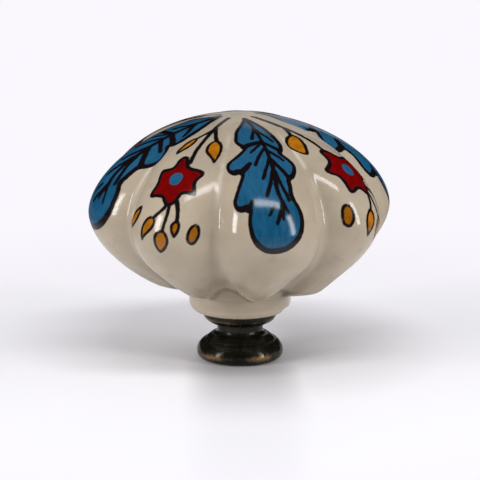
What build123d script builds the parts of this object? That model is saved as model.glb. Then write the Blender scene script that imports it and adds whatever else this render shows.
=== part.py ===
"""Cabinet knob: a lobed, glazed ceramic head cemented onto a turned bronze base.

The knob stands on its base at z = 0, with +Z along its axis, away from the cabinet front.
Lengths are in millimetres.
"""

import os
from math import asin, atan2, cos, hypot, pi, sin, tan

from build123d import *

# Lobed head
head_diameter = 40.0  # across the crowns of opposite lobes
lobe_count = 8
crown_rise = 12.45  # widest level up to the top
crown_drop = 12.5  # widest level down to the lower pole of the lobes
profile_power = 1.77  # 2 draws an ellipse, less a leaner profile
groove_depth = 2.8  # at the widest level
groove_fade = 0.7  # how soon the grooves die out towards the top
groove_sweep = 2.5  # how long the grooves keep that depth before they run in under the head
groove_run = 1.6  # how steeply they then run in
groove_core_diameter = 8.0  # size they run in to, inside the foot
groove_round = 1.3  # radius in the bottom of a groove
groove_widen = 0.3  # how fast that radius grows towards the top
groove_open = 0.7  # how far it grows towards the foot
lip_diameter = 16.4  # the lobes turn in to the foot at this size

# Foot collar under the head
foot_to_widest = 13.8  # underside of the foot up to the widest level
foot_diameter = 13.4
foot_edge_drop = 1.5  # height of the rounded lower edge
foot_edge_inset = 1.2  # how far that edge turns in
foot_height = 2.5  # underside of the foot up to its flare
flare_diameter = 20.4  # the flare ends at this size, inside the lobes
flare_rise = 3.05

# Turned base
base_height = 6.5
base_diameter = 11.36
base_edge = 0.95  # height of the widest point, and radius of the lower edge
ring_diameter = 9.5  # crease between the foot ring and the shoulder
ring_height = 2.58
shoulder_diameter = 7.5
shoulder_height = 3.35
shoulder_round = 0.45
neck_diameter = 6.04
neck_cove = 0.6
flange_diameter = 9.8
flange_height = 1.65  # underside of the flange up to the head
flange_land = 0.15  # straight rim above the quarter round
flange_cove = 0.25
recess_diameter = 7.8  # hollow in the underside
recess_depth = 0.5

# Spigot in its socket
spigot_diameter = 5.6
spigot_length = 9.0
spigot_chamfer = 0.4
key_count = 3
key_width = 1.0
key_depth = 0.35
key_first = 1.5  # from the flange to the first keying groove
key_pitch = 2.4
cement_wall = 0.6
cement_top = 0.8
socket_round = 0.8

# Tapped hole for an M4 screw, drawn at its core
tap_core_diameter = 3.3
tap_depth = 9.5  # full core, from the floor of the recess
tap_mouth_diameter = 4.3
drill_point_angle = 118.0

# Sections through the lobes
sections_above = 7
sections_below = 7

head_radius = head_diameter / 2
foot_radius = foot_diameter / 2
base_radius = base_diameter / 2
neck_radius = neck_diameter / 2
flange_radius = flange_diameter / 2
spigot_radius = spigot_diameter / 2
socket_radius = spigot_radius + cement_wall
socket_top = base_height + spigot_length + cement_top
widest_level = base_height + foot_to_widest
top_level = widest_level + crown_rise
half_lobe = pi / lobe_count
groove_core = groove_core_diameter / 2
groove_reach = head_radius - groove_depth - groove_core


def profile_radius(radius, height, offset):
    """Radius of a superellipse profile at an offset from its widest level."""
    share = min(abs(offset) / height, 1.0)
    return radius * (1 - share**profile_power) ** (1 / profile_power)


def profile_offset(radius, height, at_radius):
    """Offset from the widest level at which that profile has a given radius."""
    return height * (1 - (at_radius / radius) ** profile_power) ** (1 / profile_power)


def crown_radius(level):
    """Radius over the middle of a lobe."""
    height = crown_rise if level > widest_level else crown_drop
    return profile_radius(head_radius, height, level - widest_level)


def groove_radius(level):
    """Radius in the bottom of a groove."""
    if level > widest_level:
        crown = crown_radius(level)
        return crown - groove_depth * (crown / head_radius) ** (1 + groove_fade)
    share = (widest_level - level) / crown_drop
    return groove_core + groove_reach * (1 - share**groove_sweep) ** groove_run


def polar(radius, angle):
    """Point of a section at a radius and an angle."""
    return (radius * cos(angle), radius * sin(angle))


def lobed_section(level):
    """Section through the lobes: crown arcs joined by tangent groove arcs."""
    crown = crown_radius(level)
    groove = groove_radius(level)
    rounding = groove_round
    if level > widest_level:
        rounding *= (head_radius / crown) ** groove_widen
    else:
        rounding *= 1 + groove_open * (widest_level - level) / crown_drop
    groove_centre = groove + rounding
    crown_centre = ((crown + rounding) ** 2 - groove_centre**2) / (
        2 * (crown + rounding - groove_centre * cos(half_lobe))
    )
    share = (crown - crown_centre) / (crown - crown_centre + rounding)
    touch_x = crown_centre + share * (groove_centre * cos(half_lobe) - crown_centre)
    touch_y = share * groove_centre * sin(half_lobe)
    touch_radius = hypot(touch_x, touch_y)
    touch_angle = atan2(touch_y, touch_x)
    with BuildSketch(Plane.XY.offset(level)) as section:
        with BuildLine():
            for lobe in range(lobe_count):
                middle = 2 * half_lobe * lobe
                start = polar(touch_radius, middle - touch_angle)
                end = polar(touch_radius, middle + touch_angle)
                following = polar(touch_radius, middle + 2 * half_lobe - touch_angle)
                ThreePointArc(start, polar(crown, middle), end)
                ThreePointArc(end, polar(groove, middle + half_lobe), following)
        make_face()
    return section.sketch


def section_levels():
    """Levels of the sections, closer together where the profile turns in."""
    lip_offset = profile_offset(head_radius, crown_drop, lip_diameter / 2)
    lowest = asin((lip_offset / crown_drop) ** (profile_power / 2))
    below = [
        widest_level - crown_drop * sin(lowest * step / sections_below) ** (2 / profile_power)
        for step in range(sections_below, 0, -1)
    ]
    above = [
        widest_level + crown_rise * sin(pi / 2 * step / sections_above) ** (2 / profile_power)
        for step in range(sections_above)
    ]
    return below + above


def spigot_outline():
    """Half outline of the spigot with its keying grooves, above the flange."""
    points = [(0, base_height), (spigot_radius, base_height)]
    for key in range(key_count):
        low = base_height + key_first + key * key_pitch
        points += [
            (spigot_radius, low),
            (spigot_radius - key_depth, low),
            (spigot_radius - key_depth, low + key_width),
            (spigot_radius, low + key_width),
        ]
    spigot_top = base_height + spigot_length
    points += [
        (spigot_radius, spigot_top - spigot_chamfer),
        (spigot_radius - spigot_chamfer, spigot_top),
        (0, spigot_top),
    ]
    with BuildSketch(Plane.XZ) as outline:
        with BuildLine():
            Polyline(points, close=True)
        make_face()
    return outline.sketch


def socket_outline():
    """Half outline of the blind socket in the head's foot."""
    socket_flat = socket_radius - socket_round
    with BuildSketch(Plane.XZ) as outline:
        with BuildLine():
            Line((0, base_height), (socket_radius, base_height))
            Line((socket_radius, base_height), (socket_radius, socket_top - socket_round))
            RadiusArc((socket_radius, socket_top - socket_round), (socket_flat, socket_top), -socket_round)
            Line((socket_flat, socket_top), (0, socket_top))
            Line((0, socket_top), (0, base_height))
        make_face()
    return outline.sketch


head_sections = [lobed_section(level) for level in section_levels()]
spigot_sketch = spigot_outline()
socket_sketch = socket_outline()

# Ceramic head: lobes, foot collar and socket
foot_top = base_height + foot_height
flare_top = foot_top + flare_rise
foot_flat = foot_radius - foot_edge_inset
edge_top = base_height + foot_edge_drop

with BuildPart() as ceramic_head:
    loft(head_sections + [Vertex(0, 0, top_level)])
    with BuildSketch(Plane.XZ):
        with BuildLine():
            Line((0, base_height), (foot_flat, base_height))
            EllipticalCenterArc(
                (foot_flat, edge_top), foot_edge_inset, foot_edge_drop, start_angle=270, arc_size=90
            )
            Line((foot_radius, edge_top), (foot_radius, foot_top))
            Line((foot_radius, foot_top), (flare_diameter / 2, flare_top))
            Line((flare_diameter / 2, flare_top), (0, flare_top))
            Line((0, flare_top), (0, base_height))
        make_face()
    revolve(axis=Axis.Z)
    revolve(socket_sketch, axis=Axis.Z, mode=Mode.SUBTRACT)

# Bronze base: foot ring, shoulder, neck and flange, with the spigot and the tapped hole
ring_radius = ring_diameter / 2
shoulder_radius = shoulder_diameter / 2
recess_radius = recess_diameter / 2
rim_radius = base_radius - base_edge
flange_bottom = base_height - flange_height
land_bottom = base_height - flange_land
quarter_round = flange_height - flange_land
quarter_start = flange_radius - quarter_round
ring_rise = ring_height - base_edge
ring_run = base_radius - ring_radius
ring_bow = (ring_run**2 + ring_rise**2) / (2 * ring_run)

with BuildPart() as metal_base:
    with BuildSketch(Plane.XZ):
        with BuildLine():
            Line((0, recess_depth), (recess_radius, recess_depth))
            Line((recess_radius, recess_depth), (recess_radius, 0))
            Line((recess_radius, 0), (rim_radius, 0))
            RadiusArc((rim_radius, 0), (base_radius, base_edge), -base_edge)
            RadiusArc((base_radius, base_edge), (ring_radius, ring_height), -ring_bow)
            FilletPolyline(
                (ring_radius, ring_height),
                (shoulder_radius, shoulder_height),
                (neck_radius, shoulder_height),
                (neck_radius, flange_bottom),
                (quarter_start, flange_bottom),
                radius=[shoulder_round, neck_cove, flange_cove],
            )
            RadiusArc((quarter_start, flange_bottom), (flange_radius, land_bottom), -quarter_round)
            Line((flange_radius, land_bottom), (flange_radius, base_height))
            Line((flange_radius, base_height), (0, base_height))
            Line((0, base_height), (0, recess_depth))
        make_face()
    revolve(axis=Axis.Z)
    revolve(spigot_sketch, axis=Axis.Z)
    with Locations(Plane((0, 0, recess_depth), z_dir=(0, 0, -1))):
        CounterSinkHole(tap_core_diameter / 2, tap_mouth_diameter / 2, depth=tap_depth)
    point_height = tap_core_diameter / 2 / tan(drill_point_angle * pi / 360)
    with Locations((0, 0, recess_depth + tap_depth)):
        Cone(
            tap_core_diameter / 2,
            0,
            point_height,
            align=(Align.CENTER, Align.CENTER, Align.MIN),
            mode=Mode.SUBTRACT,
        )

# Cement that fills the socket round the spigot
with BuildPart() as cement_fill:
    revolve(socket_sketch, axis=Axis.Z)
    revolve(spigot_sketch, axis=Axis.Z, mode=Mode.SUBTRACT)

os.makedirs("parts", exist_ok=True)
ceramic_head.part.label = "ceramic_head"
export_step(ceramic_head.part, "parts/ceramic_head.step")
metal_base.part.label = "metal_base"
export_step(metal_base.part, "parts/metal_base.step")
cement_fill.part.label = "cement_fill"
export_step(cement_fill.part, "parts/cement_fill.step")
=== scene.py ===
"""Cabinet knob: a lobed, painted and glazed ceramic head on a turned bronze base.

Shapes are worked out in millimetres and scaled to metres when a piece is finished.
"""

import math

import bmesh
import bpy
import numpy as np
from bpy.props import FloatProperty, FloatVectorProperty, IntProperty, PointerProperty
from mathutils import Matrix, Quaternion, Vector, noise


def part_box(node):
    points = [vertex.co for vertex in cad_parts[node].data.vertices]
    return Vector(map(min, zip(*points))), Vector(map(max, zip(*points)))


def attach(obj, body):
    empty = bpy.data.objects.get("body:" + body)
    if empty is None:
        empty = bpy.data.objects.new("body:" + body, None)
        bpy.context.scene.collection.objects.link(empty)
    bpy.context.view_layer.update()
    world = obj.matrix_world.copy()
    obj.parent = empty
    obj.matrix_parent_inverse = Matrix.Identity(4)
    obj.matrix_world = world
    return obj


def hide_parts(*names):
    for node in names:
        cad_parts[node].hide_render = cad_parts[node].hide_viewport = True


bl_info = {
    "name": "Painted Cabinet Knob",
    "version": (1, 0, 0),
    "blender": (4, 5, 0),
    "location": "View3D > Sidebar > Knob",
    "description": "Builds a painted ceramic cabinet knob on a bronze base",
    "category": "Object",
}

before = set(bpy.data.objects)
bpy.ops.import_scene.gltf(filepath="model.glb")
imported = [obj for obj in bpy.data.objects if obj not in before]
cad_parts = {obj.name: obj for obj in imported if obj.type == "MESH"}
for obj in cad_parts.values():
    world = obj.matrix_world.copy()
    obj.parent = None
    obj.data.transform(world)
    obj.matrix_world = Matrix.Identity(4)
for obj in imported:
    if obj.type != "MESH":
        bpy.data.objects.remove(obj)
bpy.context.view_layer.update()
HEAD_LOW, HEAD_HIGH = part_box("ceramic_head")
BASE_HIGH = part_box("metal_base")[1]
MM = 0.001

# Distance, in millimetres, that counts as well away from any paint
FAR = 9.0
# Painted shade in the grooves, where the glaze also pools, and under the lip, a painted highlight on the
# upper groove lines, the glaze's specks and the bare clay
GROOVE_SHADE = (0.33, 0.27, 0.21)
CREASE_SHADE = (0.075, 0.058, 0.043)
GROOVE_HIGHLIGHT = (0.60, 0.54, 0.46)
SPECK = (0.09, 0.07, 0.05)
BARE_CLAY = (0.47, 0.39, 0.30)
# Cement where it is dark and where it is light
CEMENT = ((0.36, 0.34, 0.31), (0.55, 0.53, 0.49))
# Floor as it lights the knob, near the knob, in its shade, and far off as the glaze mirrors it
FLOOR_MATT = (0.82, 0.82, 0.82)
FLOOR_PAPER = (0.945, 0.935, 0.985)
FLOOR_SHADE = (0.42, 0.41, 0.425)
FLOOR_DIM = (0.15, 0.15, 0.15)

# Painted leaf, drawn flat in millimetres: across the lobe from its middle, and down from the top
LEAF_EDGE = [
    (-0.2, 2.8), (-0.75, 3.6), (-1.2, 4.7), (-1.85, 5.8), (-2.45, 6.8), (-2.9, 7.8), (-3.2, 8.8),
    (-3.45, 9.7), (-3.35, 10.5), (-2.95, 10.95), (-2.65, 11.2), (-3.0, 11.75), (-4.0, 12.9),
    (-5.0, 13.9), (-5.7, 14.7), (-6.0, 15.5), (-5.85, 16.2), (-5.3, 16.55), (-4.6, 16.4),
    (-4.15, 16.2), (-4.4, 17.0), (-5.0, 18.2), (-5.6, 19.4), (-6.0, 20.4), (-6.1, 21.1),
    (-5.85, 21.7), (-5.3, 21.9), (-4.6, 21.75), (-4.2, 21.6), (-4.45, 22.5), (-4.55, 23.6),
    (-4.4, 24.7), (-4.0, 25.7), (-3.3, 26.5), (-2.3, 27.1), (-1.1, 27.25), (0.2, 27.05),
    (1.3, 26.5), (2.2, 25.7), (2.8, 24.7), (3.05, 23.6), (2.95, 22.4), (2.6, 21.3), (2.1, 20.2),
    (2.05, 19.3), (2.1, 18.4), (2.15, 17.6), (2.75, 17.3), (3.3, 16.75), (3.65, 15.9), (3.6, 15.1),
    (3.2, 14.3), (2.7, 13.5), (2.2, 12.75), (2.6, 12.2), (2.75, 11.4), (2.75, 10.7), (2.5, 9.7),
    (2.25, 8.7), (1.95, 7.7), (1.65, 6.7), (1.25, 5.6), (0.85, 4.6), (0.4, 3.5),
]
LEAF_LINE = 0.6
# The line is broader below a leaf than above it: how far its inner edge is set off
LEAF_SET_OFF = (0.06, 0.26)
# Strokes: half-widths at the two ends, then the points
LEAF_STROKES = [
    (0.4, 0.22, [(-0.2, 3.0), (-0.1, 4.3), (0.0, 5.6)]),
    (0.22, 0.27, [(0.0, 5.6), (0.05, 8.5), (0.1, 10.5), (0.15, 12.5), (0.2, 15.2)]),
    (0.3, 0.26, [(0.2, 14.2), (0.0, 16.6), (-0.1, 18.5), (0.05, 19.7), (0.25, 20.6)]),
    (0.32, 0.24, [(0.25, 20.5), (-0.1, 21.6), (-0.5, 22.5), (-0.85, 23.3)]),
    (0.3, 0.2, [(0.25, 20.8), (0.1, 22.0), (0.05, 22.8)]),
    (0.16, 0.25, [(-0.12, 6.2), (-0.35, 7.3), (-0.7, 8.1), (-1.05, 9.1)]),
    (0.36, 0.4, [(0.0, 9.8), (-0.9, 10.07), (-2.0, 10.6), (-2.6, 11.1)]),
    (0.2, 0.17, [(-0.1, 10.1), (-1.15, 11.2), (-1.95, 12.1)]),
    (0.22, 0.22, [(0.0, 11.2), (-0.63, 12.1), (-1.3, 13.2), (-1.75, 14.1), (-1.95, 14.5)]),
    (0.26, 0.42, [(-2.5, 14.1), (-3.2, 15.0), (-4.1, 16.0)]),
    (0.26, 0.22, [(0.1, 13.3), (-0.37, 14.4), (-0.9, 15.5), (-1.35, 16.5), (-1.55, 16.85)]),
    (0.27, 0.25, [(-0.05, 15.6), (-0.55, 17.1), (-1.1, 18.4), (-1.6, 19.5)]),
    (0.24, 0.36, [(-3.5, 20.2), (-3.95, 21.0), (-4.35, 21.6)]),
    (0.24, 0.2, [(-0.95, 20.9), (-1.3, 21.5), (-1.7, 22.15)]),
    (0.2, 0.18, [(0.15, 6.8), (0.55, 7.9), (0.95, 8.7), (1.35, 9.6), (1.55, 10.1)]),
    (0.25, 0.34, [(0.15, 10.0), (0.83, 10.8), (1.5, 11.6), (2.1, 12.3)]),
    (0.27, 0.17, [(0.2, 11.8), (0.83, 12.5), (1.5, 13.4), (2.0, 14.15)]),
    (0.28, 0.32, [(0.25, 13.5), (0.7, 14.5), (1.25, 15.6), (1.75, 16.6), (2.15, 17.25)]),
    (0.24, 0.22, [(0.3, 15.6), (0.45, 17.2), (0.77, 18.6), (1.1, 19.9), (1.2, 20.4)]),
    (0.2, 0.15, [(0.35, 20.6), (0.84, 21.9), (1.25, 23.3)]),
]
# How the hand-painted leaves differ, by number: down from the top, sideways, stretch and lift
LEAF_SWAY = {
    0: [(8.7, 0.35, 1.5, 0.7), (14.0, 0.35, 1.35, 0.7), (17.0, 0.2, 1.1, 0.8), (20.0, 0.0, 1.0, 0.9)],
    2: [(3.0, 0.7, 1.35, 0.0), (8.0, 1.2, 1.5, 0.0), (18.0, 1.2, 1.28, 0.0), (23.0, 0.85, 1.12, 0.0)],
    3: [(3.0, 0.0, 1.0, 0.0), (9.0, 0.18, 1.03, 0.0), (15.0, 0.24, 1.02, 0.0), (24.0, 0.3, 1.0, 0.0)],
}

# Painted flower with its stem and buds
FLOWER_EDGE = [
    (-0.6, 13.35), (-0.1, 13.6), (0.35, 14.5), (0.75, 15.1), (1.4, 15.4), (2.2, 15.6), (2.85, 16.0),
    (3.1, 16.5), (3.0, 16.9), (2.7, 17.4), (2.65, 17.9), (2.85, 18.6), (3.1, 19.3), (3.2, 19.8),
    (2.7, 19.85), (2.0, 19.6), (1.5, 19.7), (1.3, 20.2), (1.1, 20.8), (0.7, 21.2), (0.2, 21.4),
    (-0.3, 21.3), (-0.8, 20.8), (-1.1, 20.4), (-1.8, 20.4), (-2.6, 20.6), (-3.15, 20.55), (-3.15, 19.8),
    (-2.9, 19.0), (-2.85, 18.2), (-3.05, 17.4), (-3.1, 16.8), (-2.9, 16.3), (-2.3, 16.0), (-1.7, 15.7),
    (-1.45, 15.2), (-1.4, 14.4), (-1.1, 13.6),
]
FLOWER_LINE = 0.5
FLOWER_EYE = ((-0.25, 17.35), (0.85, 1.0))
# How far round the flower nearest the join of the painting is set
FLOWER_SHIFT = 2.4
FLOWER_STROKES = [
    (0.3, 0.27, [(-0.05, 2.9), (-0.05, 4.5), (0.0, 6.5), (0.1, 8.5), (0.15, 11.0), (0.25, 12.7),
                 (0.5, 14.6)]),
    (0.27, 0.24, [(0.0, 6.3), (0.6, 7.6), (1.3, 9.0), (1.9, 9.9)]),
    (0.22, 0.2, [(0.0, 6.9), (-0.45, 8.2), (-0.85, 9.1), (-1.1, 9.6)]),
    (0.26, 0.24, [(-0.1, 21.4), (-0.7, 22.2), (-1.5, 23.1)]),
    (0.24, 0.22, [(0.3, 21.3), (0.35, 22.5), (0.2, 23.6), (0.05, 24.6)]),
    (0.29, 0.26, [(1.15, 20.7), (1.55, 21.8), (1.7, 22.6), (1.75, 23.4)]),
]
BUD_LINE = 0.38
BUDS = [
    [(1.5, 9.7), (2.1, 9.8), (2.7, 10.4), (3.3, 11.5), (3.6, 12.7), (3.6, 14.6), (2.9, 13.9), (2.1, 13.0),
     (1.4, 12.2), (1.1, 11.2), (1.15, 10.3)],
    [(-1.0, 9.4), (-0.75, 10.2), (-0.95, 11.2), (-1.4, 12.1), (-1.9, 12.9), (-2.4, 13.4), (-2.65, 12.7),
     (-2.45, 11.7), (-2.1, 10.6), (-1.5, 9.6)],
    [(-1.9, 22.9), (-1.3, 23.1), (-1.1, 23.7), (-1.4, 24.5), (-2.2, 25.3), (-2.9, 25.9), (-3.4, 26.4),
     (-3.5, 25.6), (-3.4, 24.7), (-3.0, 23.8), (-2.5, 23.2)],
    [(-0.7, 24.7), (-0.1, 24.5), (0.5, 24.8), (0.85, 25.5), (0.8, 26.3), (0.4, 27.0), (-0.2, 27.6),
     (-0.6, 27.7), (-1.0, 27.2), (-1.25, 26.4), (-1.2, 25.4)],
    [(1.4, 23.3), (1.9, 23.2), (2.25, 23.7), (2.25, 24.4), (2.0, 25.0), (1.55, 25.5), (1.2, 25.0),
     (1.0, 24.3), (1.05, 23.7)],
    [(4.05, 23.6), (4.6, 23.95), (4.8, 24.8), (4.5, 25.8), (3.8, 26.4), (3.2, 26.1), (3.05, 25.2),
     (3.4, 24.1)],
    [(-4.1, 21.9), (-3.9, 22.4), (-4.2, 23.4), (-5.0, 24.5), (-6.0, 25.2), (-6.5, 25.0), (-6.2, 24.0),
     (-5.4, 22.8)],
]
# How dark each bud is, one by one: darker for the buds low on the head
BUD_TONES = (1.0, 1.05, 0.85, 0.87, 0.8, 0.74, 0.9)


def moved(points, across, down):
    """A drawn outline in another place."""
    return [(point[0] + across, point[1] + down) for point in points]


# The neighbouring flower lobes, where the hand-painted flower and its buds fall a little differently
TURNED_EDGE = [
    (-0.9, 13.1), (-0.3, 13.5), (0.25, 14.5), *FLOWER_EDGE[3:22], (-0.8, 20.6), (-1.4, 20.4),
    (-2.1, 20.7), (-2.8, 20.7), (-3.0, 20.1), (-2.85, 19.0), (-2.95, 18.1), (-3.5, 17.6), (-3.85, 17.1),
    (-3.6, 16.5), (-2.9, 16.0), (-2.3, 15.5), (-2.0, 14.8), (-1.9, 14.0), (-1.6, 13.3),
]
TURNED_STROKES = [
    (0.32, 0.4, [(-0.75, 2.5), (-0.95, 4.5), (-1.0, 6.6)]),
    (0.32, 0.27, [(-1.0, 6.4), (-0.8, 8.5), (-0.65, 11.0), (-0.7, 12.7), (-0.8, 13.6)]),
    (0.28, 0.24, [(-0.95, 7.2), (-1.4, 8.2), (-1.95, 9.2)]),
    (0.27, 0.24, [(0.1, 21.4), (-0.2, 22.4), (-0.75, 23.4)]),
    (0.24, 0.22, [(0.5, 21.3), (0.75, 22.8), (0.9, 24.0), (1.0, 24.8)]),
    (0.29, 0.26, [(1.15, 20.7), (1.9, 21.6), (2.4, 22.4), (2.7, 23.2)]),
]
TURNED_BUDS = [
    [(-1.65, 9.2), (-1.5, 10.1), (-1.9, 11.3), (-2.6, 12.5), (-3.2, 13.4), (-3.8, 13.85), (-4.5, 13.1),
     (-4.8, 12.0), (-4.35, 10.95), (-3.4, 9.95), (-2.5, 9.3)],
    [(-1.1, 23.2), (-0.5, 23.4), (-0.25, 24.2), (-0.45, 25.2), (-1.0, 26.0), (-1.75, 26.8), (-2.15, 25.8),
     (-2.25, 24.7), (-1.8, 23.7)],
    moved(BUDS[3], 1.3, 0.1),
    moved(BUDS[4], 1.0, -0.2),
    moved(BUDS[5], 0.7, 0.0),
    [(-4.2, 22.05), (-3.65, 22.7), (-3.75, 23.9), (-4.3, 24.95), (-4.9, 25.15), (-5.5, 24.6),
     (-5.45, 23.4), (-4.9, 22.3)],
]


class KnobHeadSettings(bpy.types.PropertyGroup):
    """Sizes and colours of the ceramic head."""

    lobes: IntProperty(name="Lobes", description="Lobes round the head", default=8, min=3)
    radius: FloatProperty(
        name="Radius", description="Radius over the lobes", default=HEAD_HIGH.x, unit="LENGTH"
    )
    widest: FloatProperty(
        name="Widest level", description="Height of the widest level", default=0.0203, unit="LENGTH"
    )
    drop: FloatProperty(
        name="Drop", description="Widest level down to the lower pole", default=0.0125, unit="LENGTH"
    )
    power: FloatProperty(
        name="Profile power", description="2 gives an ellipse, less a leaner profile", default=1.77
    )
    groove_depth: FloatProperty(
        name="Groove depth", description="At the widest level", default=0.0028, unit="LENGTH"
    )
    groove_round: FloatProperty(
        name="Groove radius", description="Radius in a groove", default=0.0011, unit="LENGTH"
    )
    foot_radius: FloatProperty(
        name="Foot radius", description="Radius of the foot collar", default=0.0067, unit="LENGTH"
    )
    paint_turn: FloatProperty(
        name="Paint turn",
        description="Turn of the painting from the middle of the lobes",
        default=math.radians(3.0),
        subtype="ANGLE",
    )
    glaze: FloatVectorProperty(
        name="Glaze", description="Cream glaze", subtype="COLOR", default=(0.394, 0.328, 0.250)
    )
    leaf: FloatVectorProperty(
        name="Leaf", description="Leaf blue", subtype="COLOR", default=(0.006, 0.073, 0.152)
    )
    leaf_thin: FloatVectorProperty(
        name="Thin leaf", description="Where the blue is thin", subtype="COLOR", default=(0.015, 0.092, 0.184)
    )
    petal: FloatVectorProperty(
        name="Petal", description="Petal red", subtype="COLOR", default=(0.14, 0.001, 0.0012)
    )
    bud: FloatVectorProperty(
        name="Bud", description="Bud amber", subtype="COLOR", default=(0.36, 0.125, 0.005)
    )
    ink: FloatVectorProperty(
        name="Line", description="Outline black", subtype="COLOR", default=(0.006, 0.004, 0.005)
    )


class KnobBaseSettings(bpy.types.PropertyGroup):
    """Sizes and colours of the bronze base."""

    bore_radius: FloatProperty(
        name="Thread radius", description="Radius at the root of the thread", default=0.002, unit="LENGTH"
    )
    core_radius: FloatProperty(
        name="Core radius", description="Radius at the crest of the thread", default=0.00165, unit="LENGTH"
    )
    pitch: FloatProperty(name="Pitch", description="Thread pitch", default=0.0007, unit="LENGTH")
    patina: FloatVectorProperty(
        name="Patina", description="Dark bronze", subtype="COLOR", default=(0.013, 0.0115, 0.007)
    )
    worn: FloatVectorProperty(
        name="Worn metal",
        description="Where the patina is rubbed away",
        subtype="COLOR",
        default=(0.31, 0.195, 0.105),
    )


class KnobStageSettings(bpy.types.PropertyGroup):
    """Camera, lamps and floor."""

    turn: FloatProperty(
        name="Turn", description="Camera's turn round the knob", default=math.radians(-12.5), subtype="ANGLE"
    )
    elevation: FloatProperty(
        name="Elevation", description="Camera above the horizon", default=math.radians(13.0), subtype="ANGLE"
    )
    distance: FloatProperty(name="Distance", description="Camera to knob", default=0.42, unit="LENGTH")
    aim: FloatProperty(name="Aim", description="Height that it looks at", default=0.01579, unit="LENGTH")
    lens: FloatProperty(name="Lens", description="Focal length in mm", default=240.3)
    floor: FloatVectorProperty(
        name="Floor", description="White of the far floor", subtype="COLOR", default=(0.955, 0.93, 0.985)
    )


class Value:
    """A shader socket whose arithmetic adds Math nodes."""

    def __init__(self, finish, socket):
        self.finish = finish
        self.socket = socket

    def math(self, operation, first, second=0.0):
        return self.finish.node("ShaderNodeMath", {"operation": operation}, {0: first, 1: second})

    def __add__(self, other):
        return self.math("ADD", self, other)

    def __sub__(self, other):
        return self.math("SUBTRACT", self, other)

    def __rsub__(self, other):
        return self.math("SUBTRACT", other, self)

    def __mul__(self, other):
        return self.math("MULTIPLY", self, other)

    def most(self, other):
        return self.math("MAXIMUM", self, other)

    __radd__ = __add__
    __rmul__ = __mul__


class Finish:
    """A material and the nodes that make it."""

    def __init__(self, name, block=None):
        self.block = block or bpy.data.materials.new(name)
        self.block.use_nodes = True
        self.tree = self.block.node_tree
        self.tree.nodes.clear()

    def node(self, kind, settings=None, inputs=None, output=0):
        """Adds a node, sets it up, fills or links its inputs and returns one output."""
        made = self.tree.nodes.new(kind)
        for key, setting in (settings or {}).items():
            setattr(made, key, setting)
        for key, value in (inputs or {}).items():
            socket = made.inputs[key]
            if isinstance(value, Value):
                self.tree.links.new(value.socket, socket)
            else:
                socket.default_value = value
        return Value(self, made.outputs[output])

    def attribute(self, name, output="Fac"):
        return self.node("ShaderNodeAttribute", {"attribute_name": name}, output=output)

    def place(self):
        return self.node("ShaderNodeTexCoord", output="Object")

    def stretch(self, vector, scale):
        return self.node("ShaderNodeMapping", {"vector_type": "POINT"}, {"Vector": vector, "Scale": scale})

    def noise(self, vector, scale, detail=2.0, roughness=0.5):
        return self.node(
            "ShaderNodeTexNoise",
            inputs={"Vector": vector, "Scale": scale, "Detail": detail, "Roughness": roughness},
        )

    def ramp(self, value, low, high, start=0.0, end=1.0):
        """Smooth step of a value from low to high."""
        return self.node(
            "ShaderNodeMapRange",
            {"interpolation_type": "SMOOTHSTEP"},
            {"Value": value, "From Min": low, "From Max": high, "To Min": start, "To Max": end},
        )

    def blend(self, first, second, share):
        """Mix of two colours."""
        settings = {"data_type": "RGBA", "blend_type": "MIX"}
        return self.node("ShaderNodeMix", settings, {0: share, 6: first, 7: second}, output=2)

    def mixed(self, share, first, second):
        """Mix of two shaders."""
        return self.node("ShaderNodeMixShader", inputs={0: share, 1: first, 2: second})

    def diffuse(self, colour):
        return self.node("ShaderNodeBsdfDiffuse", inputs={"Color": rgba(colour)})

    def ray(self, kind):
        """1 for rays of a kind, and 0 for others."""
        return self.node("ShaderNodeLightPath", output=f"Is {kind} Ray")

    def axis(self, vector, name):
        """One coordinate of a place."""
        return self.node("ShaderNodeSeparateXYZ", inputs={0: vector}, output=name)

    def bump(self, height, strength, distance, normal=None):
        inputs = {"Height": height, "Strength": strength, "Distance": distance}
        if normal:
            inputs["Normal"] = normal
        return self.node("ShaderNodeBump", inputs=inputs)

    def surface(self, shader, end="ShaderNodeOutputMaterial"):
        output = self.tree.nodes.new(end)
        self.tree.links.new(shader.socket, output.inputs["Surface"])
        return self.block


def rgba(colour, share=1.0):
    """A colour with its alpha, lighter or darker by a share."""
    return (*(min(part * share, 1.0) for part in colour), 1.0)


def added(name, data):
    """A new object in the scene."""
    made = bpy.data.objects.new(name, data)
    bpy.context.scene.collection.objects.link(made)
    return made


def finished_piece(name, bm, node, material):
    """Turns a bmesh in metres into a piece that stands for a node."""
    mesh = bpy.data.meshes.new(name)
    bm.to_mesh(mesh)
    bm.free()
    mesh.shade_smooth()
    piece = added(name, mesh)
    mesh.materials.append(material)
    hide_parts(node)
    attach(piece, "root")
    return piece


def grown(value, start, end):
    """Share that grows from 0 at one value to 1 at another."""
    return np.clip((value - start) / (end - start), 0, 1)


def bell(offset, width):
    """Smooth rise to 1 in the middle of a width."""
    return np.exp(-((offset / width) ** 2))


def half_chord(radius, offset):
    """Half the chord of a circle at an offset from its middle."""
    return np.sqrt(np.maximum(radius**2 - offset**2, 0))


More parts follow.
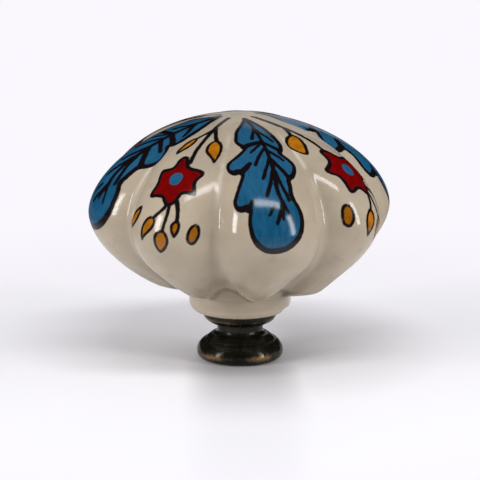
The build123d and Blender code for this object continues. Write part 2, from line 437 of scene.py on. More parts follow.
class HeadShape:
    """Form of the lobed head, in millimetres."""

    foot_edge_drop = 1.5
    foot_edge_inset = 1.2
    groove_fade = 0.7
    groove_core = 4.0
    groove_widen = 0.3
    groove_open = 0.7
    groove_sweep = 2.5
    groove_run = 1.6
    flare_level = 9.0
    flare_slope = 1.15
    flare_rise = 3.5
    lip_level = 10.4
    lip_turn_in = 1.2
    lip_least = 0.03
    lip_step = 0.35
    lip_round = 0.2
    lip_top = 15.0
    socket_radius = 3.4
    socket_depth = 9.8
    socket_round = 0.8
    # Least radii, which keep the sections whole up to the top
    tip_crown = 0.02
    tip_widen = 0.3
    # A groove that was pressed off its even place: where, how far and over what width, in degrees
    groove_shift = (-63.0, 3.2, 15.0)
    # One lobe that is fuller low down: where and how wide, in degrees, and by how much
    fuller_lobe = (-49.0, 30.0, 1.3)
    # A chip in the foot: where and how wide, in degrees, how deep and below which level
    chip_form = (-12.5, 24.0, 0.55, 7.3)
    # Levels over which the groove's shift, the fuller lobe, the raised wave and the lip's step come in
    shift_levels = (11.0, 15.0)
    fuller_levels = (13.5, 10.0)
    wave_levels = (17.0, 10.0)
    step_levels = (14.5, 10.5)
    # Length of the painting from the top, and how many rings it has
    painted_run = 27.6
    painted_rings = 106
    # Levels between which the rings lie closer, round the lip, and the step to the next rings
    lip_rings = (13.0, 8.7)
    ring_step = 0.2
    # Rings on the underside and on the socket's wall
    underside_ring = 4.6
    socket_ring = 4.0

    def __init__(self, settings):
        self.half_lobe = math.pi / settings.lobes
        self.radius = settings.radius / MM
        self.widest = settings.widest / MM
        self.top = HEAD_HIGH.z / MM
        self.bottom = HEAD_LOW.z / MM
        self.drop = settings.drop / MM
        self.power = settings.power
        self.depth = settings.groove_depth / MM
        self.rounding = settings.groove_round / MM
        self.foot_radius = settings.foot_radius / MM
        self.paint_turn = settings.paint_turn
        self.turns = np.linspace(-math.pi, math.pi, 721)
        self.steps = np.linspace(self.flare_level + 0.01, self.lip_top, 400)
        # The wave is worked out from lobes that aren't raised yet
        self.lift = np.zeros(len(self.turns))
        self.lift = self.wave_lift()

    def crown(self, level):
        """Radius over the middle of a lobe."""
        height = np.where(level > self.widest, self.top - self.widest, self.drop)
        share = np.clip(np.abs(level - self.widest) / height, 0, 1)
        return self.radius * (1 - share**self.power) ** (1 / self.power)

    def groove(self, level):
        """Radius in the bottom of a groove."""
        crown = self.crown(level)
        upper = crown - self.depth * (crown / self.radius) ** (1 + self.groove_fade)
        share = grown(level, self.widest, self.widest - self.drop)
        reach = self.radius - self.depth - self.groove_core
        lower = self.groove_core + reach * (1 - share**self.groove_sweep) ** self.groove_run
        return np.where(level > self.widest, upper, lower)

    def from_crown(self, level, angle):
        """Angle from the middle of the nearest lobe."""
        place, far, width = np.radians(self.groove_shift)
        shift = far * bell(angle - place, width) * grown(level, *self.shift_levels)
        half = self.half_lobe
        return np.abs((angle - shift + half) % (2 * half) - half)

    def lobed(self, level, angle):
        """Radius of the lobes at a level and an angle: crown arcs joined by groove arcs."""
        crown = np.maximum(self.crown(level), self.tip_crown)
        below = 1 + self.groove_open * grown(level, self.widest, self.widest - self.drop)
        above = (self.radius / np.maximum(crown, self.tip_widen)) ** self.groove_widen
        rounding = self.rounding * np.where(level > self.widest, above, below)
        half = self.half_lobe
        off = self.from_crown(level, angle)
        rest = half - off
        centre = self.groove(level) + rounding
        reach = crown + rounding
        arc_centre = (reach**2 - centre**2) / (2 * (reach - centre * math.cos(half)))
        arc = crown - arc_centre
        share = arc / (arc + rounding)
        touch_x = arc_centre + share * (centre * math.cos(half) - arc_centre)
        touch = np.arctan2(share * centre * math.sin(half), touch_x)
        over_crown = arc_centre * np.cos(off) + half_chord(arc, arc_centre * np.sin(off))
        in_groove = centre * np.cos(rest) - half_chord(rounding, centre * np.sin(rest))
        return np.where(off < touch, over_crown, in_groove)

    def foot(self, level):
        """Radius of the foot collar with its rounded lower edge."""
        share = grown(level, self.bottom + self.foot_edge_drop, self.bottom)
        return self.foot_radius - self.foot_edge_inset * (1 - np.sqrt(1 - share**2))

    def flare(self, level):
        """Radius of the foot where it widens under the lobes."""
        return self.foot(level) + self.flare_slope * np.clip(level - self.flare_level, 0, self.flare_rise)

    def rolled(self, level, angle):
        """Radius of the lobes, which roll in at their lower end."""
        lobe = np.where(level > self.flare_level, self.lobed(level, angle), 0.0)
        place, width, much = self.fuller_lobe
        fuller = much * bell(angle - math.radians(place), math.radians(width))
        lobe = lobe + fuller * grown(level, *self.fuller_levels) ** 2
        return lobe - self.lip_turn_in * np.clip(self.lip_level - level, 0, 2) ** 2

    def overhang(self, level, angle):
        """How far the lobes stand out from the foot, raised so that they end in an even wave."""
        share = grown(level, *self.wave_levels)
        lift = np.interp(angle, self.turns, self.lift) * share**2 * (3 - 2 * share)
        return self.rolled(level - lift, angle) - self.flare(level)

    def lip(self):
        """Level at which the lobes end over the foot, by turns."""
        over = self.overhang(self.steps[:, None], self.turns[None, :]) > self.lip_least
        return np.where(over.any(0), self.steps[over.argmax(0)], self.steps[-1])

    def wave_lift(self):
        """How far the lobes' lower ends are raised, by turns, for a wave from crown to groove."""
        step = 2 * self.half_lobe
        found = self.lip()
        low = np.interp(np.rint(self.turns / step) * step, self.turns, found)
        high = np.interp((np.floor(self.turns / step) + 0.5) * step, self.turns, found)
        wave = low + (high - low) * (1 - np.cos(self.turns / step * 2 * math.pi)) / 2
        over = self.rolled(self.steps[:, None], self.turns[None, :]) > self.flare(wave)[None, :]
        return np.maximum(wave - self.steps[over.argmax(0)], 0) * (wave > found)

    def outside(self, level, angle):
        """Radius of the outer surface: lobes above, foot below, with a soft lip between."""
        over = np.maximum(self.overhang(level, angle), 0)
        step = self.lip_step * grown(level, *self.step_levels) ** 2
        lower = self.flare(level) + over + step * (1 - np.exp(-over / self.lip_round))
        return np.where(level > self.widest, self.lobed(level, angle), lower) - self.chip(level, angle)

    def chip(self, level, angle):
        """A chip out of the foot's lower edge."""
        place, width, depth, top = self.chip_form
        across = (angle - math.radians(place)) / math.radians(width)
        return depth * np.exp(-(across**4)) * grown(level, top, top - 0.15)

    def rows(self):
        """Run, radius and level of each ring, from the top round to the top of the socket."""
        turn = np.linspace(0, math.pi / 2, 900)
        rise = self.top - self.widest
        levels = np.concatenate(
            [
                self.widest + rise * np.cos(turn) ** (2 / self.power),
                self.widest - self.drop * np.sin(turn[1:]) ** (2 / self.power),
            ]
        )
        foot_top = self.widest - self.drop + 0.9
        edge = np.linspace(0, math.pi / 2, 60)
        levels = np.concatenate(
            [
                levels[levels > foot_top],
                np.linspace(foot_top, self.bottom + self.foot_edge_drop, 40),
                self.bottom + self.foot_edge_drop * (1 - np.sin(edge[1:])),
            ]
        )
        crowns = self.crown(levels)
        radii = np.where(levels > self.widest, crowns, np.maximum(crowns, self.foot(levels)))
        run = np.concatenate([[0], np.cumsum(np.hypot(np.diff(radii), np.diff(levels)))])
        upper = np.linspace(0.25, self.painted_run, self.painted_rings)
        painted_end = np.interp(self.painted_run, run, levels)
        lip_high, lip_low = self.lip_rings
        under_paint = np.linspace(painted_end - self.ring_step, lip_high + self.ring_step, 10)
        lower = np.concatenate([under_paint, np.linspace(lip_high, lip_low, 34)])
        foot = np.linspace(np.interp(self.ring_step - lip_low, -levels, run), run[-1], 14)
        wanted = np.concatenate([upper, np.interp(-lower, -levels, run), foot])
        outer = np.stack([wanted, np.interp(wanted, run, radii), np.interp(wanted, run, levels)], 1)
        wall = self.socket_radius
        socket_top = self.bottom + self.socket_depth
        inner = [(self.underside_ring, self.bottom), (wall, self.bottom)]
        inner.append((wall, self.bottom + self.socket_ring))
        for turned in (0, math.pi / 6, math.pi / 3, math.pi / 2):
            inside = self.socket_round * (1 - math.cos(turned))
            under = self.socket_round * (1 - math.sin(turned))
            inner.append((wall - inside, socket_top - under))
        inner = np.array([(0, *point) for point in inner])
        path = np.concatenate([outer[-1:, 1:], inner[:, 1:]])
        inner[:, 0] = run[-1] + np.cumsum(np.hypot(*np.diff(path, axis=0).T))
        self.outer_rows = len(outer)
        return np.concatenate([outer, inner]), socket_top


def smooth_line(points, closed=False, steps=5):
    """Points along a smooth curve through given points."""
    points = np.array(points, float)
    if closed:
        padded = np.concatenate([points[-1:], points, points[:2]])
    else:
        padded = np.concatenate([2 * points[:1] - points[1:2], points, 2 * points[-1:] - points[-2:-1]])
    before, start, end, after = padded[:-3], padded[1:-2], padded[2:-1], padded[3:]
    line = []
    for share in np.arange(steps) / steps:
        line.append(
            0.5
            * (
                2 * start
                + (end - before) * share
                + (2 * before - 5 * start + 4 * end - after) * share**2
                + (3 * start - before - 3 * end + after) * share**3
            )
        )
    line = np.stack(line, 1).reshape(-1, 2)
    return line if closed else np.concatenate([line, points[-1:]])


def near(spots, points, margin=1.5):
    """Which spots lie near a drawn line."""
    low = points.min(0) - margin
    high = points.max(0) + margin
    return np.nonzero(((spots > low) & (spots < high)).all(1))[0]


def gaps_to_line(spots, points, half_widths):
    """Distance from spots to the edge of a line that may taper."""
    best = np.full(len(spots), FAR)
    for start, end, width, next_width in zip(points, points[1:], half_widths, half_widths[1:]):
        along = end - start
        share = np.clip((spots - start) @ along / max(along @ along, 1e-9), 0, 1)
        off = spots - start - share[:, None] * along
        best = np.minimum(best, np.hypot(off[:, 0], off[:, 1]) - width - (next_width - width) * share)
    return best


def stroke(spots, start_width, end_width, points):
    """Distance to a brush stroke, negative inside it."""
    line = smooth_line(points)
    widths = np.linspace(start_width, end_width, len(line))
    found = np.full(len(spots), FAR)
    close = near(spots, line)
    found[close] = gaps_to_line(spots[close], line, widths)
    return found


def outline(spots, points):
    """Distance to a closed outline, negative inside it."""
    line = smooth_line(points, closed=True)
    ring = np.concatenate([line, line[:1]])
    found = np.full(len(spots), FAR)
    close = near(spots, line)
    here = spots[close]
    inside = np.zeros(len(here), bool)
    for start, end in zip(ring, ring[1:]):
        if start[1] != end[1]:
            crossing = (start[1] > here[:, 1]) != (end[1] > here[:, 1])
            reach = start[0] + (end[0] - start[0]) * (here[:, 1] - start[1]) / (end[1] - start[1])
            inside ^= crossing & (here[:, 0] < reach)
    gap = gaps_to_line(here, ring, np.zeros(len(ring)))
    found[close] = np.where(inside, -gap, gap)
    return found


def line_round(distance, width):
    """Distance to a painted line just inside an outline."""
    return np.abs(distance + width / 2) - width / 2


def swayed(index, across, run):
    """Places on the leaf as drawn, for leaves that were each painted a little differently."""
    spots = np.stack([across, run], 1)
    for number, rows in LEAF_SWAY.items():
        here = index % 4 == number
        downs, sideways, stretches, lifts = np.array(rows).T
        shift = np.interp(run[here], downs, sideways)
        spots[here, 0] = (across[here] - shift) / np.interp(run[here], downs, stretches)
        spots[here, 1] = run[here] + np.interp(run[here], downs, lifts)
    return spots


def painted(shape, run, level, angle):
    """Signed distances, in millimetres, to each paint on the head."""
    crown = shape.crown(level)
    quarter = math.pi / 2
    angle = angle - shape.paint_turn
    leaf_index = np.rint(angle / quarter)
    flower_index = np.floor(angle / quarter)
    leaf_spots = swayed(leaf_index, (angle - leaf_index * quarter) * crown, run)
    flower_spots = np.stack([(angle - (flower_index + 0.5) * quarter) * crown, run], 1)
    flower_spots[flower_index == 1, 0] -= FLOWER_SHIFT
    turned = flower_index % 2 == 1
    leaf = outline(leaf_spots, LEAF_EDGE)
    ink = np.maximum(leaf, -LEAF_LINE - outline(leaf_spots + LEAF_SET_OFF, LEAF_EDGE))
    for start_width, end_width, points in LEAF_STROKES:
        ink = np.minimum(ink, stroke(leaf_spots, start_width, end_width, points))
    flower = np.full(len(run), FAR)
    buds = np.full(len(run), FAR)
    tones = np.ones(len(run))
    for lobe, edge, strokes, outlines in (
        (~turned, FLOWER_EDGE, FLOWER_STROKES, BUDS),
        (turned, TURNED_EDGE, TURNED_STROKES, TURNED_BUDS),
    ):
        spots = flower_spots[lobe]
        flower[lobe] = outline(spots, edge)
        lines = line_round(flower[lobe], FLOWER_LINE)
        near_bud = np.full(len(spots), FAR)
        tone = np.ones(len(spots))
        for start_width, end_width, points in strokes:
            lines = np.minimum(lines, stroke(spots, start_width, end_width, points))
        for points, listed_tone in zip(outlines, BUD_TONES):
            bud = outline(spots, points)
            lines = np.minimum(lines, line_round(bud, BUD_LINE))
            tone[bud < near_bud] = listed_tone
            near_bud = np.minimum(near_bud, bud)
        ink[lobe] = np.minimum(ink[lobe], lines)
        buds[lobe] = near_bud
        tones[lobe] = tone
    middle, radii = FLOWER_EYE
    eye = (np.hypot(*((flower_spots - middle) / radii).T) - 1) * min(radii)
    return {
        "leaf_paint": leaf + LEAF_LINE / 2,
        "petal_paint": flower + FLOWER_LINE / 2,
        "eye_paint": eye,
        "bud_paint": buds + BUD_LINE / 2,
        "line_paint": ink,
        "bud_tone": tones,
    }, leaf_spots


def ceramic_finish(settings):
    """Glazed ceramic with its painted leaves and flowers."""
    finish = Finish("glazed_ceramic_paint")
    place = finish.place()
    cloud = finish.noise(place, 140.0, 3.0)
    fine = finish.noise(place, 900.0, 3.0, 0.6)
    wobble = (finish.noise(place, 1500.0, 2.0) - 0.5) * 0.16
    cream = finish.blend(rgba(settings.glaze, 0.93), rgba(settings.glaze, 1.07), finish.ramp(cloud, 0.3, 0.7))
    # Painted shade in the lower grooves, where the glaze also pools, and under the lip
    cream = finish.blend(cream, rgba(GROOVE_SHADE), finish.attribute("groove_share") * 0.5)
    cream = finish.blend(cream, rgba(CREASE_SHADE), finish.attribute("crease_share") * 0.55)
    # Painted highlight along the upper grooves, broken up by the cloud
    painted_highlight = finish.attribute("groove_highlight_share") * finish.ramp(cloud, 0.3, 0.6)
    cream = finish.blend(cream, rgba(GROOVE_HIGHLIGHT), painted_highlight)
    mottle = finish.noise(place, 480.0, 3.0, 0.6)
    cream = finish.blend(cream, rgba(settings.glaze, 0.82), finish.ramp(mottle, 0.5, 0.75) * 0.6)
    speck = finish.node("ShaderNodeTexVoronoi", inputs={"Vector": place, "Scale": 120.0}, output="Distance")
    cream = finish.blend(cream, rgba(SPECK), finish.ramp(speck, 0.026, 0.012) * 0.7)
    on_leaf = finish.attribute("brush_place", "Vector")
    brush = finish.noise(finish.stretch(on_leaf, (2.2, 0.5, 1.0)), 1.0, 3.0)
    down = finish.axis(on_leaf, "Y")
    # The blue is lighter in brush streaks and on the upper leaf, and darker low on its bulb
    thin = finish.ramp(brush, 0.25, 0.7) * 0.7 + finish.ramp(down, 22.0, 18.0) * 0.55
    blue = finish.blend(rgba(settings.leaf, 0.85), rgba(settings.leaf_thin), finish.ramp(thin, 0.1, 1.1))
    red = finish.blend(rgba(settings.petal, 0.85), rgba(settings.petal, 1.25), finish.ramp(fine, 0.3, 0.7))
    amber = finish.blend(rgba(settings.bud, 0.8), rgba(settings.bud, 1.2), finish.ramp(fine, 0.3, 0.7))
    amber = finish.blend(rgba(settings.bud, 0.35), amber, finish.ramp(finish.attribute("bud_tone"), 0.5, 1.0))
    colour = cream
    paints = {"leaf_paint": blue, "petal_paint": red, "eye_paint": blue, "bud_paint": amber}
    for name, paint in paints.items():
        colour = finish.blend(colour, paint, finish.ramp(finish.attribute(name) + wobble, 0.06, -0.06))
    line = finish.ramp(finish.attribute("line_paint") + wobble, 0.08, -0.07)
    colour = finish.blend(colour, rgba(settings.ink), line)
    bare = finish.attribute("bare_share")
    colour = finish.blend(colour, rgba(BARE_CLAY), bare * 0.7)
    ripple = finish.noise(place, 230.0, 1.0)
    normal = finish.bump(ripple, 0.25, 0.0002)
    normal = finish.bump(fine * bare, 0.5, 0.0001, normal)
    roughness = finish.ramp(cloud, 0.2, 0.8, 0.09, 0.16) + bare * 0.45
    shader = finish.node(
        "ShaderNodeBsdfPrincipled",
        inputs={"Base Color": colour, "Roughness": roughness, "IOR": 1.42, "Normal": normal},
    )
    return finish.surface(shader)


class KNOB_OT_ceramic_head(bpy.types.Operator):
    """Build the lobed ceramic head with its painted decoration"""

    bl_idname = "knob.ceramic_head"
    bl_label = "Ceramic Head"

    around = 560
    # Painted highlight along the upper grooves: its width, and the levels where it comes in and goes out
    highlight_width = 0.32
    highlight_in = (22.0, 27.0)
    highlight_out = (31.5, 30.0)
    # Levels over which the shade in the grooves comes in, and the bare edge over the foot's underside
    shade_levels = (24.0, 20.0)
    bare_levels = (1.3, 0.4)
    # Widths of the shade below and above the lip, and width and strength of it where the flare starts
    lip_shade = (0.5, 0.34)
    flare_shade = (0.2, 0.35)
    # Strength of the shade on the foot below the flare
    foot_shade = 0.2
    # Sets the brush marks of the leaves apart
    leaf_spacing = 7.3
    # Size of the head's disc in its map
    disc_radius = 0.495

    def execute(self, context):
        settings = context.scene.knob_head
        shape = HeadShape(settings)
        rows, socket_top = shape.rows()
        end = (rows[-1, 0] + rows[-1, 1], 0, socket_top)
        rings = np.concatenate([[(0, 0, shape.top)], rows, [end]])
        sheet = bpy.data.meshes.new("head_sheet")
        bm = bmesh.new()
        bmesh.ops.create_grid(bm, x_segments=self.around, y_segments=len(rings) - 1, size=1.0)
        bm.to_mesh(sheet)
        self.roll_up(sheet, shape, rings)
        bm.clear()
        bm.from_mesh(sheet)
        bpy.data.meshes.remove(sheet)
        bmesh.ops.remove_doubles(bm, verts=bm.verts[:], dist=5e-7)
        bmesh.ops.recalc_face_normals(bm, faces=bm.faces[:])
        finished_piece("ceramic_head_glazed", bm, "ceramic_head", ceramic_finish(settings))
        return {"FINISHED"}

    def roll_up(self, mesh, shape, rings):
        """Rolls a flat sheet up into the head, a row to each ring, and paints its vertices."""
        flat = np.empty(len(mesh.vertices) * 3)
        mesh.vertices.foreach_get("co", flat)
        across, down = flat.reshape(-1, 3)[:, :2].T
        angle = across * math.pi
        ring = np.rint((1 - down) / 2 * (len(rings) - 1)).astype(int)
        run, radius, level = rings[ring].T
        outer = (ring > 0) & (ring <= shape.outer_rows)
        radius[outer] = shape.outside(level[outer], angle[outer])
        placed = np.stack([radius * np.cos(angle), radius * np.sin(angle), level], 1)
        mesh.vertices.foreach_set("co", (placed * MM).ravel())
        paints, leaf_spots = painted(shape, run, level, angle)
        for paint in paints.values():
            paint[~outer] = FAR
        crown = np.maximum(shape.crown(level), 0.5)
        into_groove = grown(crown - shape.lobed(level, angle), 0, shape.depth)
        # Painted highlight along the bottom of each upper groove
        rest = shape.half_lobe - shape.from_crown(level, angle)
        painted_highlight = bell(rest * crown, self.highlight_width)
        painted_highlight *= grown(level, *self.highlight_in) * grown(level, *self.highlight_out)
        bare = grown(level - shape.bottom, *self.bare_levels)
        above_lip = level - np.interp(angle, shape.turns, shape.lip())
        crease = bell(above_lip, np.where(above_lip < 0, *self.lip_shade))
        above_flare = level - shape.flare_level
        width, strength = self.flare_shade
        crease = np.maximum(crease, strength * bell(above_flare, width))
        crease = np.maximum(crease, self.foot_shade * grown(above_flare, width, -width))
        shares = {
            "groove_share": into_groove * grown(level, *self.shade_levels) * outer,
            "groove_highlight_share": painted_highlight * outer,
            "bare_share": np.where(outer, bare, 1.0),
            "crease_share": crease * outer,
        }
        for name, values in {**paints, **shares}.items():
            layer = mesh.attributes.new(name, "FLOAT", "POINT")
            layer.data.foreach_set("value", values.astype(np.float32))
        part = np.floor((angle + math.pi / 4) / (math.pi / 2))
        brush = np.stack([leaf_spots[:, 0], leaf_spots[:, 1], part * self.leaf_spacing], 1)
        layer = mesh.attributes.new("brush_place", "FLOAT_VECTOR", "POINT")
        layer.data.foreach_set("vector", brush.astype(np.float32).ravel())
        corners = np.empty(len(mesh.loops), int)
        mesh.loops.foreach_get("vertex_index", corners)
        out = run / run.max() * self.disc_radius
        disc = np.stack([0.5 + out * np.cos(angle), 0.5 + out * np.sin(angle)], 1)
        layer = mesh.uv_layers.new(name="OFBake")
        layer.uv.foreach_set("vector", disc[corners].astype(np.float32).ravel())


def arc(middle, radius, start, end, steps):
    """Points of an arc in a half outline, between two angles in degrees."""
    turns = (math.radians(start + (end - start) * step / steps) for step in range(steps + 1))
    return [(middle[0] + radius * math.cos(turn), middle[1] + radius * math.sin(turn)) for turn in turns]


def bronze_finish(settings):
    """Antique bronze: a dark oxide skin, rubbed to the metal on the rims."""
    finish = Finish("antique_bronze_worn")
    place = finish.place()
    cloud = finish.noise(place, 420.0, 4.0, 0.6)
    fine = finish.noise(place, 2600.0, 3.0, 0.6)
    rim = finish.attribute("rim_share")
    rubbed = finish.ramp(cloud * 0.8 + fine * 0.3 + rim * 0.62, 0.72, 1.25)
    skin = finish.ramp(cloud, 0.3, 0.75)
    colour = finish.blend(rgba(settings.patina, 0.6), rgba(settings.patina, 1.5), skin)
    colour = finish.blend(colour, rgba(settings.worn), rubbed)
    roughness = finish.ramp(fine, 0.2, 0.8, 0.16, 0.3)
    normal = finish.bump(fine, 0.35, 0.00005)
    normal = finish.bump(cloud, 0.4, 0.0001, normal)
    shader = finish.node(
        "ShaderNodeBsdfPrincipled",
        inputs={
            "Base Color": colour,
            "Metallic": rubbed * 0.6 + 0.4,
            "Roughness": roughness,
            "Specular IOR Level": 0.27,
            "Normal": normal,
        },
    )
    return finish.surface(shader)


class KNOB_OT_bronze_base(bpy.types.Operator):
    """Build the turned bronze base with its spigot and threaded hole"""

    bl_idname = "knob.bronze_base"
    bl_label = "Bronze Base"

    around = 192
    # Half outline, in millimetres
    edge_round = 0.95
    ring_bow = 1.893
    ring_span = 59.4
    ledge = [(4.6, 2.6), (4.53, 2.72)]
    shoulder_middle = 3.57
    shoulder_level = 3.35
    shoulder_round = 0.45
    neck_radius = 3.02
    neck_cove = 0.6
    flange_radius = 4.9
    flange_level = 4.85
    flange_cove = 0.25
    flange_land = 0.15
    quarter_round = 1.5
    recess_radius = 3.9
    recess_depth = 0.5
    mouth_radius = 2.2
    thread_top = 9.8
    core_top = 10.0
    drill_point = 11.0
    spigot_radius = 2.8
    spigot_chamfer = 0.4
    # Keying grooves round the spigot
    key_levels = (8.0, 10.4, 12.8)
    key_width = 1.0
    key_depth = 0.35
    # Slow and quick unevenness of the casting: scale and height
    unevenness = ((0.9, 0.05), (2.7, 0.02))
    # Worn patches round the widest ring: how many, and their turn
    worn_patches = 5
    worn_turn = math.radians(143)

    def profile(self, settings):
        """Half outline from the end of the hole round to the top of the spigot."""
        radius = BASE_HIGH.x / MM
        seat = HEAD_LOW.z / MM
        core = settings.core_radius / MM
        root = settings.bore_radius / MM + 0.02
        recess = self.recess_radius
        depth = self.recess_depth
        shoulder = self.shoulder_level
        land = seat - self.flange_land
        hole = [(0.0, self.drill_point), (core, self.core_top), (root, self.thread_top)]
        mouth = [(root, depth + 0.15), (self.mouth_radius, depth)]
        rim = [(recess - 0.08, depth), (recess, depth - 0.08), (recess, 0.06), (recess + 0.06, 0.0)]
        edge = arc((radius - self.edge_round, self.edge_round), self.edge_round, -90, 0, 8)
        bow = arc((radius - self.ring_bow, self.edge_round), self.ring_bow, 0, self.ring_span, 14)
        top_middle = (self.shoulder_middle, shoulder - self.shoulder_round)
        top = arc(top_middle, self.shoulder_round, 52, 90, 5)
        cove_middle = (self.neck_radius + self.neck_cove, shoulder + self.neck_cove)
        cove = arc(cove_middle, self.neck_cove, 270, 180, 7)
        under_middle = (self.neck_radius + self.flange_cove, self.flange_level - self.flange_cove)
        under = arc(under_middle, self.flange_cove, 180, 90, 5)
        quarter = arc((self.flange_radius - self.quarter_round, land), self.quarter_round, -90, 0, 12)
        base = hole + mouth + rim + edge + bow[1:] + self.ledge + top + cove + under + quarter
        return base + [(self.flange_radius, seat)] + self.spigot(seat)

    def spigot(self, seat):
        """Half outline of the spigot with its keying grooves, above the flange."""
        radius = self.spigot_radius
        inner = radius - self.key_depth
        top = BASE_HIGH.z / MM
        points = [(radius, seat)]
        for low in self.key_levels:
            high = low + self.key_width
            points += [(radius, low), (inner, low), (inner, high), (radius, high)]
        chamfer = self.spigot_chamfer
        return points + [(radius, top - chamfer), (radius - chamfer, top), (0.0, top)]

    def execute(self, context):
        settings = context.scene.knob_base
        bm = bmesh.new()
        verts = [bm.verts.new((radius, 0, level)) for radius, level in self.profile(settings)]
        for first, second in zip(verts, verts[1:]):
            bm.edges.new((first, second))
        long = [edge for edge in bm.edges if edge.calc_length() > 0.4]
        bmesh.ops.subdivide_edges(bm, edges=long, cuts=3)
        bmesh.ops.spin(
            bm, geom=bm.verts[:] + bm.edges[:], cent=(0, 0, 0), axis=(0, 0, 1), angle=2 * math.pi,
            steps=self.around, use_merge=True,
        )
        bmesh.ops.remove_doubles(bm, verts=bm.verts[:], dist=1e-4)
        bmesh.ops.recalc_face_normals(bm, faces=bm.faces[:])
        self.cut_thread(bm, settings)
        for vert in bm.verts:
            self.cast(vert)
        bmesh.ops.scale(bm, vec=(MM, MM, MM), verts=bm.verts[:])
        material = bronze_finish(settings)
        piece = finished_piece("metal_base_bronze", bm, "metal_base", material)
        mesh = piece.data
        layer = mesh.attributes.new("rim_share", "FLOAT", "POINT")
        rim = [self.rim(vert.co / MM) for vert in mesh.vertices]
        layer.data.foreach_set("value", rim)
        mesh.set_sharp_from_angle(angle=math.radians(50))
        return {"FINISHED"}

    def cast(self, vert):
        """Slight unevenness of a casting on the surfaces that show."""
        radius = math.hypot(vert.co.x, vert.co.y)
        if radius > 3.0 and 0.05 < vert.co.z < 6.3:
            push = sum(noise.noise(vert.co * scale) * height for scale, height in self.unevenness)
            vert.co.x += vert.co.x / radius * push
            vert.co.y += vert.co.y / radius * push

    def rim(self, place):
        """How exposed a place is: the widest ring and the edge of the flange."""
        radius = math.hypot(place.x, place.y)
        turn = math.atan2(place.y, place.x) + self.worn_turn
        patches = 0.36 + 0.64 * (0.5 + 0.5 * math.cos(self.worn_patches * turn)) ** 2
        ring = max(0.0, 1 - abs(place.z - self.edge_round) / 0.85) * (radius > 4.5) * patches
        flange = max(0.0, 1 - abs(place.z - 5.6) / 0.5) * (radius > 4.2) * 0.5
        return max(ring, flange)

    def cut_thread(self, bm, settings):
        """Helical ridge that makes the bore a thread."""
        root = settings.bore_radius / MM + 0.04
        crest = settings.core_radius / MM
        pitch = settings.pitch / MM
        per_turn = 40
        turns = 12
        low = 1.0
        flank = 0.29
        ridge = [(root, low - flank), (crest, low - 0.045), (crest, low + 0.045), (root, low + flank)]
        thread = bmesh.new()
        verts = [thread.verts.new((radius, 0, level)) for radius, level in ridge]
        edges = [thread.edges.new(pair) for pair in zip(verts, verts[1:] + verts[:1])]
        start = thread.faces.new(verts)
        swept = bmesh.ops.spin(
            thread, geom=verts + edges, cent=(0, 0, 0), axis=(0, 0, 1), dvec=(0, 0, pitch / per_turn),
            angle=2 * math.pi * turns, steps=per_turn * turns,
        )
        last = [item for item in swept["geom_last"] if isinstance(item, bmesh.types.BMVert)]
        rim = [item for item in swept["geom_last"] if isinstance(item, bmesh.types.BMEdge)]
        bmesh.ops.contextual_create(thread, geom=rim)
        for vert in [*start.verts, *last]:
            radius = math.hypot(vert.co.x, vert.co.y)
            vert.co.x *= root / radius
            vert.co.y *= root / radius
        bmesh.ops.recalc_face_normals(thread, faces=thread.faces[:])
        mesh = bpy.data.meshes.new("thread")
        thread.to_mesh(mesh)
        thread.free()
        bm.from_mesh(mesh)
        bpy.data.meshes.remove(mesh)


def cement_finish():
    """Grey setting cement."""
    finish = Finish("setting_cement_grey")
    place = finish.place()
    grain = finish.noise(place, 3000.0, 4.0, 0.7)
    dark, light = CEMENT
    colour = finish.blend(rgba(dark), rgba(light), finish.ramp(grain, 0.3, 0.7))
    shader = finish.node(
        "ShaderNodeBsdfPrincipled",
        inputs={"Base Color": colour, "Roughness": 0.9, "Normal": finish.bump(grain, 0.6, 0.0001)},
    )
    return finish.surface(shader)


class KNOB_OT_cement(bpy.types.Operator):
    """Finish the cement that holds the head on its spigot"""

    bl_idname = "knob.cement"
    bl_label = "Setting Cement"

    def execute(self, context):
        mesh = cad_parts["cement_fill"].data
        mesh.materials.clear()
        mesh.materials.append(cement_finish())
        return {"FINISHED"}


def floor_finish(settings):
    """Pale floor that keeps the knob's shadow, near it, and runs out into plain white."""
    finish = Finish("studio_floor")
    glossy = finish.ray("Glossy")
    turned = finish.node(
        "ShaderNodeMapping",
        {"vector_type": "TEXTURE"},
        {"Vector": finish.place(), "Rotation": (0.0, 0.0, settings.turn)},
    )
    across = finish.axis(turned, "X")
    before = finish.axis(turned, "Y")
    # Narrow shade in front of the knob, which fades towards the camera
    aside = across - 0.001
    front = finish.ramp(aside * aside, 0.00008, 0.0) * finish.ramp(before, -0.034, -0.004, 0.12, 0.85)
    front = front * finish.ramp(before, 0.002, -0.007)
    # Wider and fainter shade to its right
    right = (across - 0.008) * 45.0
    along = (before - 0.006) * 33.0
    beside = finish.ramp(right * right + along * along, 1.0, 0.0) * 0.32 * finish.ramp(across, 0.0, 0.008)
    paper = finish.mixed(front.most(beside), finish.diffuse(FLOOR_PAPER), finish.diffuse(FLOOR_SHADE))
    # Plain white further off, which the glaze mirrors dimly
    white = finish.node("ShaderNodeEmission", inputs={"Color": rgba(settings.floor), "Strength": 1.0})
    white = finish.mixed(glossy, white, finish.diffuse(FLOOR_DIM))
    away = finish.node("ShaderNodeVectorMath", {"operation": "LENGTH"}, {0: finish.place()}, output="Value")
    shown = finish.mixed(finish.ramp(away, 0.03, 0.085), paper, white)
    seen = finish.ray("Camera").most(glossy).most(finish.ray("Transmission"))
    return finish.surface(finish.mixed(seen, finish.diffuse(FLOOR_MATT), shown))


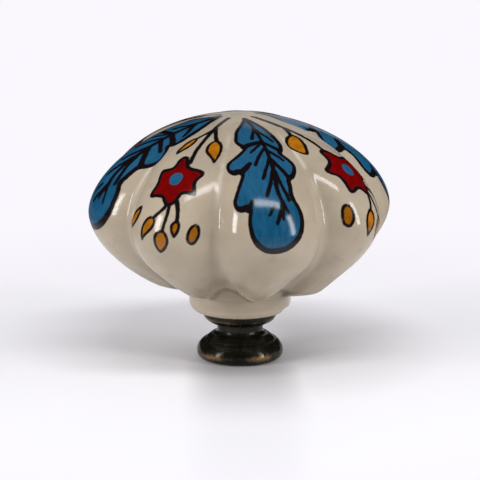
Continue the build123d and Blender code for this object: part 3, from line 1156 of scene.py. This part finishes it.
class KNOB_OT_stage(bpy.types.Operator):
    """Set up the floor, lamps and camera"""

    bl_idname = "knob.stage"
    bl_label = "Stage"

    # Name, turn, elevation, roll, width, height, watts and whether the glaze mirrors it
    lamps = [
        ("lamp_left", -60.0, 16.0, 0.0, 0.08, 0.26, 1.1, True),
        ("lamp_right", 61.5, 11.0, 0.0, 0.07, 0.42, 1.25, True),
        ("lamp_top", 22.0, 60.0, -12.0, 0.37, 0.07, 0.95, True),
        ("lamp_back", 175.0, 22.0, 0.0, 0.18, 0.36, 0.085, True),
        ("fill_left", -85.0, 12.0, 0.0, 0.3, 0.3, 0.55, False),
        ("fill_right", 95.0, 12.0, 0.0, 0.3, 0.3, 0.5, False),
    ]
    lamp_distance = 0.5
    floor_reach = 3.0

    def execute(self, context):
        settings = context.scene.knob_stage
        scene = context.scene
        scene.view_settings.view_transform = "Standard"
        self.lay_floor(settings)
        for name, turn, elevation, roll, width, height, watts, mirrored in self.lamps:
            hung = self.hang_lamp(name, settings, (turn, elevation, roll), (width, height), watts)
            hung.visible_glossy = mirrored
        self.light_world(scene, settings)
        self.place_camera(scene, settings)
        return {"FINISHED"}

    def direction(self, settings, turn, elevation):
        """Direction from the knob, turned to the right as the camera sees it."""
        angle = settings.turn + turn
        return Vector(
            (
                math.sin(angle) * math.cos(elevation),
                -math.cos(angle) * math.cos(elevation),
                math.sin(elevation),
            )
        )

    def lay_floor(self, settings):
        bm = bmesh.new()
        bmesh.ops.create_grid(bm, x_segments=8, y_segments=8, size=self.floor_reach)
        mesh = bpy.data.meshes.new("floor")
        bm.to_mesh(mesh)
        bm.free()
        mesh.materials.append(floor_finish(settings))
        floor = added("floor", mesh)

    def hang_lamp(self, name, settings, angles, size, watts):
        turn, elevation, roll = (math.radians(angle) for angle in angles)
        lamp = bpy.data.lights.new(name, "AREA")
        lamp.shape = "RECTANGLE"
        lamp.size, lamp.size_y = size
        lamp.energy = watts
        hung = added(name, lamp)
        away = self.direction(settings, turn, elevation)
        hung.location = Vector((0, 0, settings.aim)) + away * self.lamp_distance
        facing = (-away).to_track_quat("-Z", "Y") @ Quaternion((0, 0, 1), roll)
        hung.rotation_euler = facing.to_euler()
        return hung

    def light_world(self, scene, settings):
        """Even soft light from all round, white to look at and left out of what the glaze mirrors."""
        finish = Finish("studio", bpy.data.worlds.new("studio"))
        plain = rgba((1.0, 1.0, 1.0))
        soft = finish.node("ShaderNodeBackground", inputs={"Color": plain, "Strength": 0.38})
        dark = finish.node("ShaderNodeBackground", inputs={"Color": plain, "Strength": 0.0})
        white = finish.node("ShaderNodeBackground", inputs={"Color": rgba(settings.floor), "Strength": 1.0})
        looked_at = finish.ray("Camera").most(finish.ray("Transmission"))
        light = finish.mixed(looked_at, finish.mixed(finish.ray("Glossy"), soft, dark), white)
        scene.world = finish.surface(light, "ShaderNodeOutputWorld")

    def place_camera(self, scene, settings):
        data = bpy.data.cameras.new("camera")
        data.lens = settings.lens
        data.sensor_width = 36.0
        data.clip_start = 0.01
        camera = added("camera", data)
        away = self.direction(settings, 0.0, settings.elevation)
        camera.location = Vector((0, 0, settings.aim)) + away * settings.distance
        camera.rotation_euler = (-away).to_track_quat("-Z", "Y").to_euler()
        scene.camera = camera


class KNOB_PT_panel(bpy.types.Panel):
    """Lists the knob's pieces and their settings"""

    bl_idname = "KNOB_PT_panel"
    bl_label = "Cabinet Knob"
    bl_space_type = "VIEW_3D"
    bl_region_type = "UI"
    bl_category = "Knob"

    def draw(self, context):
        layout = self.layout
        for operator in OPERATORS:
            layout.operator(operator.bl_idname)
        for group in (context.scene.knob_head, context.scene.knob_base, context.scene.knob_stage):
            box = layout.box()
            for name in group.__annotations__:
                box.prop(group, name)


GROUPS = {"knob_head": KnobHeadSettings, "knob_base": KnobBaseSettings, "knob_stage": KnobStageSettings}
OPERATORS = (KNOB_OT_ceramic_head, KNOB_OT_bronze_base, KNOB_OT_cement, KNOB_OT_stage)


def register():
    for group in (*GROUPS.values(), *OPERATORS, KNOB_PT_panel):
        bpy.utils.register_class(group)
    for name, group in GROUPS.items():
        setattr(bpy.types.Scene, name, PointerProperty(type=group))


def unregister():
    for name in GROUPS:
        delattr(bpy.types.Scene, name)
    for group in (KNOB_PT_panel, *reversed(OPERATORS), *reversed(GROUPS.values())):
        bpy.utils.unregister_class(group)


def main():
    register()
    bpy.ops.knob.ceramic_head()
    bpy.ops.knob.bronze_base()
    bpy.ops.knob.cement()
    bpy.ops.knob.stage()


if __name__ == "__main__":
    main()
